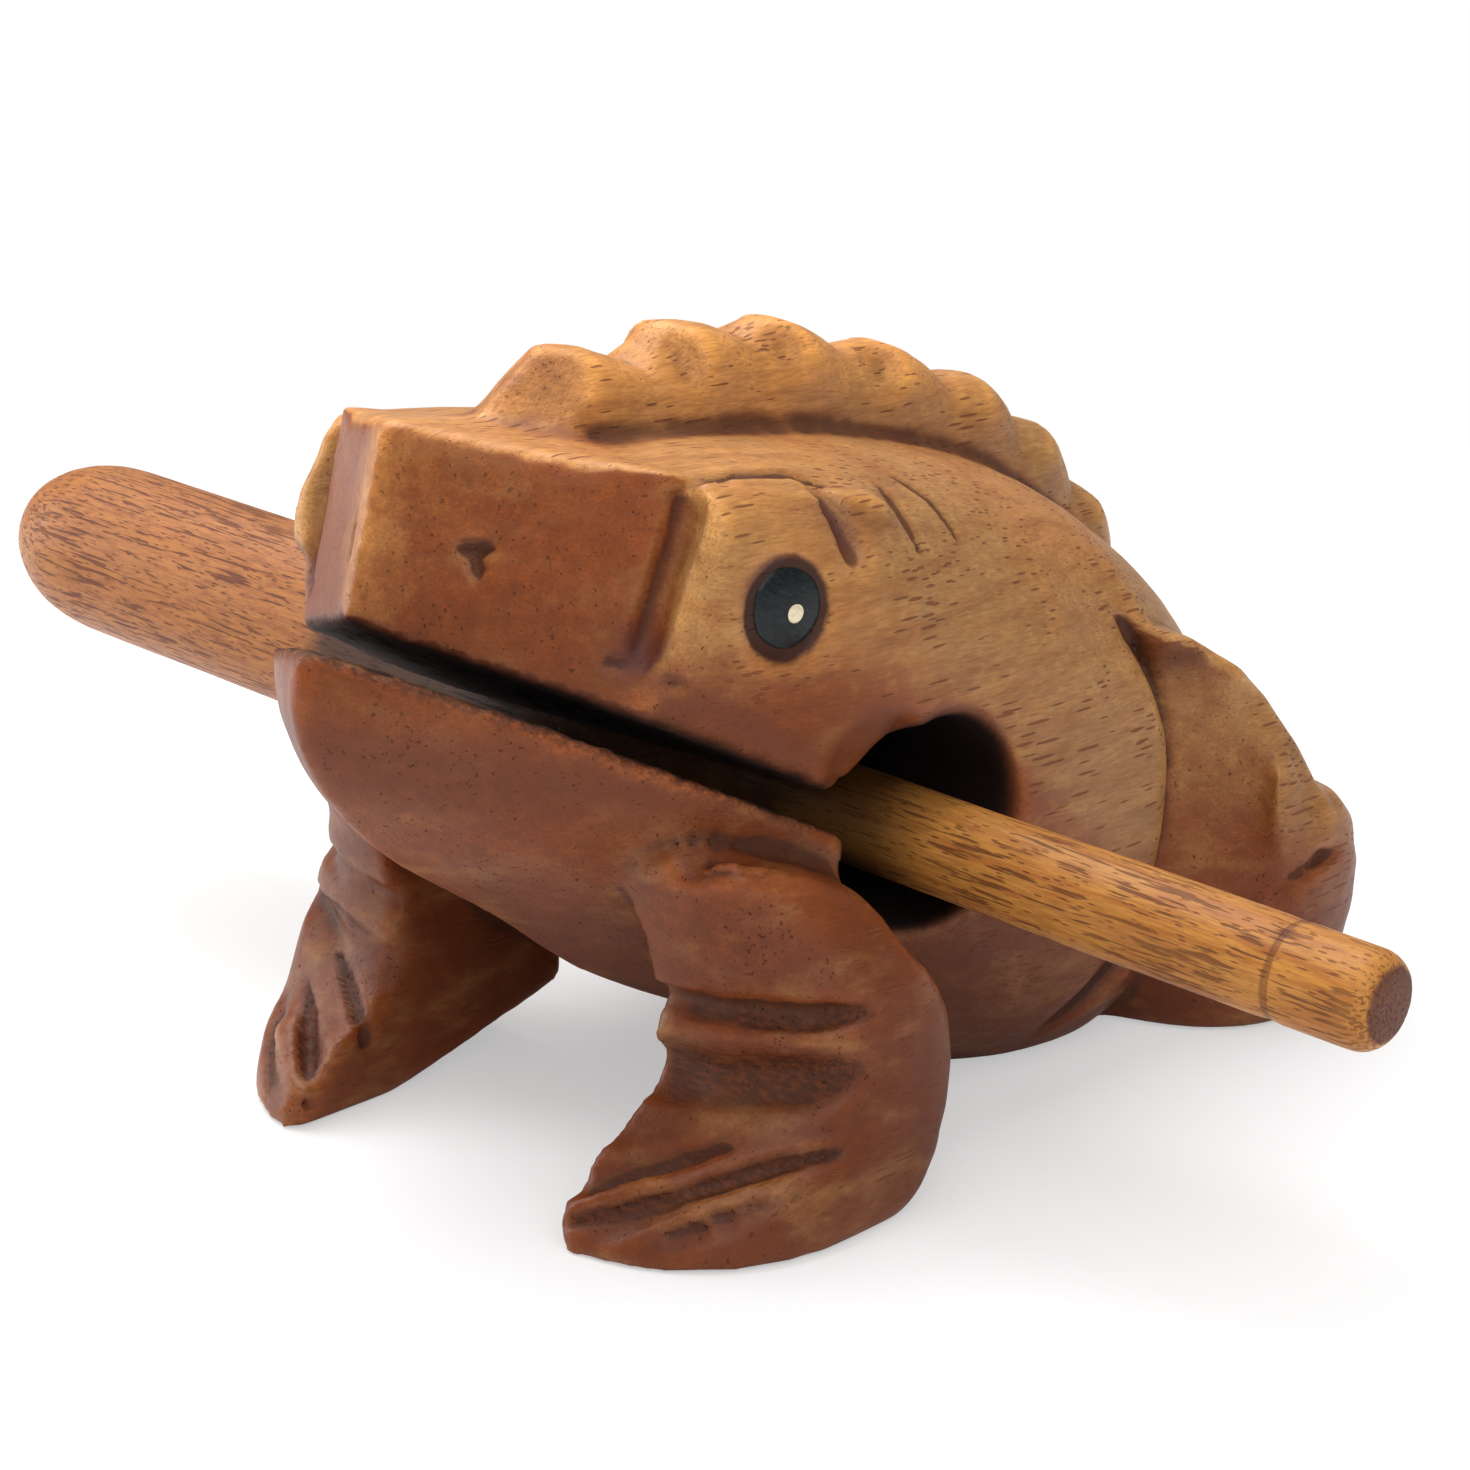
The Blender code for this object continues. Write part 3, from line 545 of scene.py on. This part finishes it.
frogColours = {
    "tan": (0.44, 0.190, 0.056),
    "gold": (0.58, 0.245, 0.062),
    "olive": (0.37, 0.180, 0.060),
    "russet": (0.225, 0.052, 0.010),
    "deep": (0.115, 0.026, 0.007),
    "brown": (0.055, 0.015, 0.006),
    # black also serves as painted shade in closed-in places, the bore and the mouth slot
    "black": (0.008, 0.003, 0.002),
    "pore": (0.17, 0.045, 0.015),
    "raw": (0.085, 0.022, 0.018),
    "scorch": (0.035, 0.009, 0.004),
    "dustBy": (1.16, 1.18, 1.18),  # how much lighter the dull flecks are
    # how much lighter the rubbed edges are, wear together with a painted highlight
    "wearAndHighlightBy": (1.75, 1.85, 1.7),
}
frogGloss = {"Specular IOR Level": 0.22, "Coat Weight": 0.06, "Coat Roughness": 0.25}
eyePlace = (26.0, -42.8, 51.9)
eyeTurn = math.radians(10.0)


def growthRings(wood, drift):  # round a line that runs along the frog
    centre = wood.shifted(wood.place((0.02, 0.0, 0.0), (1.0, 0.03, 1.0)), (11.0, 0.0, 22.0))
    return wood.noise(wood.point(wood.length(centre) + drift * 3.0), 1.5, 2.0, 0.6)


def eyeBurn(wood, still, sideways, height):  # scorched ring round each eye
    folded = wood.point(sideways, wood.along(still, "Y"), height)
    centre = wood.shifted(folded, tuple(-v for v in eyePlace))
    axis = (math.cos(eyeTurn), -math.sin(eyeTurn), 0.0)
    spin = wood.node("ShaderNodeVectorMath", {"operation": "CROSS_PRODUCT"}, {0: centre, 1: axis})
    near = 1.0 - wood.step(wood.length(centre), 7.0, 7.5)
    edge = wood.length(spin) + (wood.noise(still, 1.2, 3.0) - 0.5) * 0.5
    return (1.0 - wood.step(edge, 4.0, 4.6)) * near


def frogWood(colours):
    wood = Recipe("lacqueredFrogWood")
    still = wood.place()
    grain = wood.place((0.03, 0.0, 0.0), (1.0, 0.12, 1.0))
    cross = wood.place((0.0, 0.0, 0.0), (0.18, 1.0, 1.0))
    fine = wood.attribute("fine")
    broad = wood.attribute("broad")
    sheltered = wood.attribute("shelter")
    height = wood.along(still, "Z")

    front = wood.facing("Y") * -1.0
    drift = wood.noise(still, 20.0, 2.0)
    patch = wood.noise(wood.shifted(still, (40.0, 7.0, 3.0)), 7.0, 3.0)
    fleck = wood.noise(wood.shifted(still, (0.0, 90.0, 3.0)), 1.6, 4.0, 0.65)
    forward = 1.0 - wood.step(wood.along(still, "Y") + patch * 6.0, -45.0, -30.0)
    brow = wood.attribute("brow")
    snout = wood.attribute("snout")
    endGrain = wood.step(front + (patch - 0.5) * 0.3, 0.3, 0.85) * forward * (1.0 - brow * 0.75)
    rings = growthRings(wood, drift)
    bands = wood.noise(grain, 1.7, 3.0, 0.55)
    fibres = wood.noise(grain, 0.22, 2.0)

    colour = wood.blend(wood.step(drift + bands * 0.3 - 0.15, 0.42, 0.62), colours["olive"], colours["tan"])
    colour = wood.blend(wood.step(height + patch * 14.0, 63.0, 74.0) * 0.85, colour, colours["gold"])
    colour = wood.blend(wood.step(rings, 0.45, 0.75) * 0.35, colour, colours["russet"])
    behind = wood.step(wood.along(still, "Y"), -38.0, 8.0)
    low = 1.0 - wood.step(height + patch * 12.0 + drift * 8.0 + behind * 31.0, 52.0, 64.0)
    hollow = wood.step(broad, 0.0, 0.6)
    sideways = wood.along(still, "X").maths("ABSOLUTE")
    upward = wood.step(wood.facing("Z"), 0.45, 0.8)
    reddened = endGrain * 0.35 + low * 1.05 + hollow * 0.6 + (patch - 0.5) * 0.6 + (fleck - 0.5) * 0.25
    reddened = reddened + wood.step(front, 0.35, 0.75) * behind * 0.5
    snoutSide = snout * wood.step(sideways + patch * 6.0, -2.0, 15.0) * (1.0 - upward)
    reddened = reddened + upward * forward * 0.22 + snoutSide * 0.75
    colour = wood.blend(wood.step(reddened, 0.1, 1.0), colour, colours["russet"])
    lowest = 1.0 - wood.step(height + patch * 14.0 + behind * 12.0, 20.0, 59.0)
    darker = lowest * 0.7 + wood.step(fleck, 0.42, 0.7) * 0.22 * endGrain
    darker = darker + (drift - 0.45) * 0.6 + (patch - 0.5) * 0.5
    colour = wood.blend(wood.step(darker, 0.0, 0.9), colour, colours["deep"])
    tilted = wood.shifted(wood.place((0.0, 0.0, 0.4), (0.5, 0.5, 1.0)), (9.0, 55.0, 1.0))
    lighter = wood.step(wood.noise(tilted, 4.0, 4.0, 0.6), 0.45, 0.8) * 0.45
    colour = wood.blend(lighter * wood.step(reddened, 0.2, 0.8), colour, colours["olive"])
    # painted shade on downward-facing surfaces above 33 mm, and the snout darker towards its bottom
    under = (1.0 - wood.step(wood.facing("Z"), -0.25, 0.06)) * wood.step(height, 33.0, 39.0)
    under = under * 0.85 + snout * (1.0 - wood.step(height + patch * 6.0, 49.0, 62.0)) * 0.5
    colour = wood.blend(under, colour, colours["deep"])
    colour = wood.blend(wood.step(bands, 0.4, 0.8) * 0.4, colour, colours["deep"])
    colour = wood.blend(wood.step(fibres, 0.35, 0.8) * 0.3, colour, colours["deep"])
    dusty = wood.blend(1.0, colour, colours["dustBy"], "MULTIPLY")
    colour = wood.blend(1.0 - wood.step(fleck + (fibres - 0.5) * 0.5, 0.3, 0.55), colour, dusty)

    # pores: dashes on the flanks, dots where the grain ends
    many = wood.noise(wood.shifted(still, (5.0, 0.0, 60.0)), 9.0, 2.0)
    size = 0.06 + wood.step(many, 0.35, 0.62) * 0.19
    fromPore = wood.cells(wood.place((0.03, 0.0, 0.0), (1.0, 0.07, 1.0)), 0.46)
    dashes = 1.0 - wood.step(fromPore - size, -0.04, 0.06)
    pores = dashes * (1.0 - endGrain) * (1.0 - wood.step(front, 0.15, 0.5) * 0.7)
    pores = pores * (1.0 - wood.step(sheltered, 0.1, 0.35))
    colour = wood.blend(pores * 0.8, colour, colours["pore"])
    speck = wood.noise(wood.shifted(still, (3.0, 9.0, 27.0)), 0.42, 2.0, 0.6)
    pits = wood.step(speck + (patch - 0.5) * 0.2, 0.66, 0.76) * wood.step(front, 0.2, 0.6)
    colour = wood.blend(pits * 0.55 * (1.0 - wood.step(height, 58.0, 64.0) * 0.75), colour, colours["brown"])

    # stain left in the cuts with painted shade in the hollows, and stain rubbed off the edges with painted
    # highlights there
    scratch = wood.noise(cross, 0.4, 3.0, 0.6)
    cut = wood.attribute("stain")
    # stain in the knife cuts, plus painted shade in small hollows and where the shelter rays meet wood
    stainAndShade = wood.step(fine + (patch - 0.5) * 0.05, 0.01, 0.10) * 0.8 + wood.step(sheltered, 0.16, 0.6)
    stainAndShade = stainAndShade * (1.0 - brow * 0.65) + cut * 0.7
    colour = wood.blend(wood.step(stainAndShade, 0.0, 1.0) * 0.85, colour, colours["brown"])
    colour = wood.blend(wood.step(scratch, 0.45, 0.62) * cut * 0.4, colour, colours["russet"])
    torn = wood.attribute("torn")
    shreds = wood.step(wood.noise(cross, 0.5, 3.0, 0.7), 0.38, 0.56)
    colour = wood.blend(torn * shreds * 0.8, colour, colours["brown"])
    # lighter on edges and convex forms, partly wear and partly a painted highlight; the nose ridge gets a
    # painted highlight
    lit = wood.blend(1.0, colour, colours["wearAndHighlightBy"], "MULTIPLY")
    wearAndHighlight = wood.step(fine * -1.0 + (fleck - 0.5) * 0.1, 0.01, 0.13) * (1.0 - torn * 0.6)
    ridgeHighlight = (1.0 - wood.step(sideways + patch * 2.0, 0.5, 4.0)) * snout
    wearAndHighlight = (wearAndHighlight * (1.0 - snout * 0.5)).maths("MAXIMUM", ridgeHighlight * 0.9)
    colour = wood.blend(wearAndHighlight * 0.45 + wood.step(broad * -1.0, 0.1, 1.0) * 0.12, colour, lit)
    colour = wood.blend(wood.attribute("raw") * (0.45 + fleck), colour, colours["raw"])
    # painted shade: near black where most directions are closed in by wood
    colour = wood.blend(wood.step(sheltered, 0.42, 0.75), colour, colours["black"])
    # painted shade: the bore wall and the sawn mouth slot near black
    colour = wood.blend(wood.attribute("inside"), colour, colours["black"])

    colour = wood.blend(eyeBurn(wood, still, sideways, height) * 0.95, colour, colours["scorch"])
    rough = 0.48 + wood.attribute("inside") * 0.5 + pores * 0.15 + pits * 0.2 + stainAndShade * 0.1
    rough = rough - wearAndHighlight * 0.1 + torn * 0.2
    relief = fibres * 0.25 + bands * 0.3 - pores * 0.8 - pits * 1.2
    relief = relief + scratch * (cut + torn) * 1.2 + fleck * 0.5
    return wood.finish(colour, rough, relief, 0.14, frogGloss)


frog = makeFrog(frogShape)
frog.data.materials.append(frogWood(frogColours))
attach(frog, "root")
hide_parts("frog_body")
print("frog carved")


# painted eyes, laid in the scorched dishes
eyeShape = {
    "radius": 3.5,  # mm
    "thick": 0.7,
    "sunk": 1.25,
    "pupilShift": (0.5, 0.0),
    "dotRadius": 0.78,
    "dotThick": 0.14,
    "dotShift": (0.35, -0.4),  # towards the rump, and up
    "wobble": 0.07,  # share of unevenness
    "paint": ((0.002, 0.005, 0.006), (0.008, 0.014, 0.015)),  # colour, and its brush streaks
    "dot": ((0.80, 0.70, 0.50), (0.62, 0.50, 0.33)),
}


def blob(name, side, radius, thick, out, shift, wobble):
    axis = Vector((side * math.cos(eyeTurn), -math.sin(eyeTurn), 0.0))
    back = Vector((side * math.sin(eyeTurn), math.cos(eyeTurn), 0.0))
    place = Vector((side * eyePlace[0], eyePlace[1], eyePlace[2])) + axis * out + back * shift[0]
    place.z += shift[1]
    bpy.ops.object.select_all(action="DESELECT")
    bpy.ops.mesh.primitive_uv_sphere_add(segments=40, ring_count=20, radius=1.0)
    piece = bpy.context.active_object
    piece.name = name
    piece.scale = (radius * mm, radius * mm, thick * mm)
    piece.rotation_euler = axis.to_track_quat("Z", "Y").to_euler()
    piece.location = place * mm
    bpy.ops.object.transform_apply(location=True, rotation=True, scale=True)
    points = readPoints(piece.data)
    uneven = 1.0 + wobble * roughness(points, radius, 2.0)
    writePoints(piece.data, np.array(place) + (points - np.array(place)) * uneven[:, None])
    bpy.ops.object.shade_smooth()
    return piece


def paint(name, colours, gloss):
    recipe = Recipe(name)
    still = recipe.place()
    strokes = recipe.noise(recipe.place((0.5, 0.0, 0.0), (1.0, 0.35, 1.0)), 0.35, 3.0)
    mixed = recipe.blend(recipe.step(strokes, 0.4, 0.75), *colours)
    rough = 0.24 + recipe.noise(still, 0.6, 2.0) * 0.2
    return recipe.finish(mixed, rough, strokes, 0.05, {"Specular IOR Level": gloss})


def makeEyes(values):
    black = paint("eyePaint", values["paint"], 0.3)
    cream = paint("eyeDotPaint", values["dot"], 0.4)
    uneven = values["wobble"]
    for side, word in ((1.0, "left"), (-1.0, "right")):
        middle = values["pupilShift"]
        pupil = blob(word + "Pupil", side, values["radius"], values["thick"], -values["sunk"], middle, uneven)
        dotOut = values["thick"] - values["sunk"] - 0.03
        shift = [a + b for a, b in zip(middle, values["dotShift"])]
        dot = blob(word + "EyeDot", side, values["dotRadius"], values["dotThick"], dotOut, shift, uneven)
        for piece, finish in ((pupil, black), (dot, cream)):
            piece.data.materials.append(finish)
            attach(piece, "root")


makeEyes(eyeShape)
print("eyes painted")


# the rasp stick
stickShape = {
    "voxel": 0.6,  # mm
    "softening": 4,
    "waves": ((16.0, 0.12), (4.0, 0.06)),  # size and height of the unevenness
    "sanded": 0.05,  # taken off all round
    "fall": 3.85,  # degrees
    "yaw": 1.0,
    "ringAt": 59.5,  # scored line, from the middle
}


def makeStick(values):
    stick = copyOfNode("rasp_stick", "raspStick")
    applyModifier(stick, "REMESH", {"mode": "VOXEL", "voxel_size": values["voxel"] * mm})
    mesh = stick.data
    net = Net(mesh)
    points = net.soften(readPoints(mesh), values["softening"])
    writePoints(mesh, points)
    normals = readPoints(mesh, "normal")
    lift = sum(high * roughness(points, size, 5.1, (0.4, 1.0, 1.0)) for size, high in values["waves"])
    points = points + normals * (lift - values["sanded"])[:, None]
    low, high = (np.array(corner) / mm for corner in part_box("rasp_stick"))
    points = np.clip(points, low, high)
    writePoints(mesh, points)
    keep(stick, "fine", hollowness(net, points, readPoints(mesh, "normal"), 5))
    pickOnly(stick)
    bpy.ops.object.shade_smooth()
    return stick


stickColours = {
    "gold": (0.52, 0.225, 0.046),
    "amber": (0.40, 0.14, 0.028),
    "brown": (0.22, 0.06, 0.013),
    "streak": (0.10, 0.022, 0.008),
    "end": (0.11, 0.038, 0.026),
    # painted shade colour for the stick in and beside the bore
    "boreShade": (0.03, 0.008, 0.003),
}
stickGloss = {"Specular IOR Level": 0.22, "Coat Weight": 0.07, "Coat Roughness": 0.25}


def stickWood(colours, values):
    wood = Recipe("lacqueredStickWood")
    straight = (0.0, -math.radians(values["fall"]), -math.radians(values["yaw"]))
    still = wood.place(straight)
    grain = wood.place(straight, (0.07, 1.0, 1.0))
    short = wood.place(straight, (0.2, 1.0, 1.0))
    fine = wood.attribute("fine")
    across = wood.along(still, "X")
    endGrain = wood.step(wood.facing("X").maths("ABSOLUTE"), 0.75, 0.93)
    handle = 1.0 - wood.step(across, -30.0, 10.0)
    drift = wood.noise(still, 9.0, 3.0)
    bands = wood.noise(grain, 1.0, 3.0, 0.6)
    fibres = wood.noise(grain, 0.2, 3.0)
    colour = wood.blend(wood.step(bands + (drift - 0.5) * 0.5, 0.42, 0.62), colours["gold"], colours["amber"])
    mottle = wood.noise(short, 0.6, 4.0, 0.7)
    colour = wood.blend(handle * 0.75, colour, colours["amber"])
    colour = wood.blend(handle * 0.2, colour, colours["brown"])
    colour = wood.blend(wood.step(mottle, 0.45, 0.62) * (0.3 + handle * 0.35), colour, colours["brown"])
    thin = wood.noise(grain, 0.34, 2.0, 0.5)
    streaks = wood.step(thin + (drift - 0.5) * 0.3, 0.56, 0.64)
    dashes = 1.0 - wood.step(wood.cells(short, 0.4), 0.14, 0.26)
    marks = streaks.maths("MAXIMUM", dashes * 0.8)
    colour = wood.blend(marks * 0.9, colour, colours["streak"])
    colour = wood.blend(wood.step(fibres, 0.4, 0.7) * 0.45, colour, colours["brown"])
    colour = wood.blend(endGrain * (0.75 + mottle * 0.3), colour, colours["end"])
    fromRing = (across - values["ringAt"]).maths("ABSOLUTE") + (drift - 0.5) * 0.5
    scored = 1.0 - wood.step(fromRing, 0.1, 0.4)
    colour = wood.blend(scored * 0.6, colour, colours["streak"])
    # painted shade on the stick inside the frog's bore, and on the front of the handle next to it
    shadedNearFrog = (1.0 - wood.step(across + (drift - 0.5) * 3.0, 18.0, 27.0)) * wood.step(across, -49.0, -45.0)
    behindMouth = 1.0 - wood.step(wood.facing("Y"), -0.3, 0.3) * (1.0 - wood.step(across, -40.0, -34.0))
    colour = wood.blend(shadedNearFrog * behindMouth * 0.92, colour, colours["boreShade"])
    edge = wood.step(fine * -1.0, 0.01, 0.06) * (1.0 - endGrain)
    colour = wood.blend(edge * 0.3, colour, colours["gold"])
    rough = 0.46 + marks * 0.15 + endGrain * 0.2
    relief = fibres * 0.4 + bands * 0.3 - marks * 0.8 + mottle * 0.4 - scored
    return wood.finish(colour, rough, relief, 0.12, stickGloss)


stick = makeStick(stickShape)
stick.data.materials.append(stickWood(stickColours, stickShape))
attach(stick, "root")
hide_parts("rasp_stick")
print("stick turned")


# floor, light and backdrop
stageSettings = {
    "floorColour": (0.9, 0.9, 0.9),
    "floorLift": 0.45,  # share of plain white that the camera sees near the frog
    "lampAim": (0.0, 0.0, 0.03),
    "lamps": {  # place in metres, width and power
        "keyLamp": ((-0.22, 0.02, 0.55), 0.6, 4.6),
        "fillLamp": ((0.42, -0.30, 0.5), 0.6, 2.4),
        "sideLamp": ((-0.55, -0.28, 0.2), 0.4, 1.8),
    },
    "sky": 0.33,
}


def floorFinish(values):
    paper = Recipe("whiteSweep")
    where = paper.node("ShaderNodeTexCoord", None, None, "Object")
    far = paper.length(where)
    glow = paper.node("ShaderNodeEmission", None, {"Color": (1.0, 1.0, 1.0), "Strength": 1.0})
    matt = paper.node("ShaderNodeBsdfDiffuse", None, {"Color": values["floorColour"]})
    seen = paper.node("ShaderNodeLightPath", None, None, "Is Camera Ray")
    share = (paper.step(far, 0.12, 0.3) * (1.0 - values["floorLift"]) + values["floorLift"]) * seen
    both = paper.node("ShaderNodeMixShader", None, {0: share, 1: matt, 2: glow})
    output = paper.tree.nodes["Material Output"]
    paper.tree.nodes.remove(paper.surface)
    paper.tree.links.new(both.socket, output.inputs["Surface"])
    return paper.material


def addLamp(name, place, size, power, aim):
    data = bpy.data.lights.new(name, "AREA")
    data.size = size
    data.energy = power
    lamp = bpy.data.objects.new(name, data)
    scene.collection.objects.link(lamp)
    lamp.location = place
    lamp.rotation_euler = (Vector(aim) - Vector(place)).to_track_quat("-Z", "Y").to_euler()


def setStage(values):
    bpy.ops.object.select_all(action="DESELECT")
    bpy.ops.mesh.primitive_plane_add(size=6.0, location=(0.0, 0.0, 0.0))
    floor = bpy.context.active_object
    floor.name = "floor"
    floor.data.materials.append(floorFinish(values))
    for name, (place, size, power) in values["lamps"].items():
        addLamp(name, place, size, power, values["lampAim"])
    world = bpy.data.worlds.new("softRoom")
    scene.world = world
    world.use_nodes = True
    tree = world.node_tree
    path = tree.nodes.new("ShaderNodeLightPath")
    seen = tree.nodes.new("ShaderNodeMath")
    seen.operation = "MAXIMUM"
    tree.links.new(path.outputs["Is Camera Ray"], seen.inputs[0])
    tree.links.new(path.outputs["Is Transmission Ray"], seen.inputs[1])
    strength = tree.nodes.new("ShaderNodeMapRange")
    strength.inputs["To Min"].default_value = values["sky"]
    tree.links.new(seen.outputs[0], strength.inputs["Value"])
    tree.links.new(strength.outputs[0], tree.nodes["Background"].inputs["Strength"])
    tree.nodes["Background"].inputs["Color"].default_value = (1.0, 1.0, 1.0, 1.0)
    scene.view_settings.view_transform = "Standard"


setStage(stageSettings)
print("stage set")
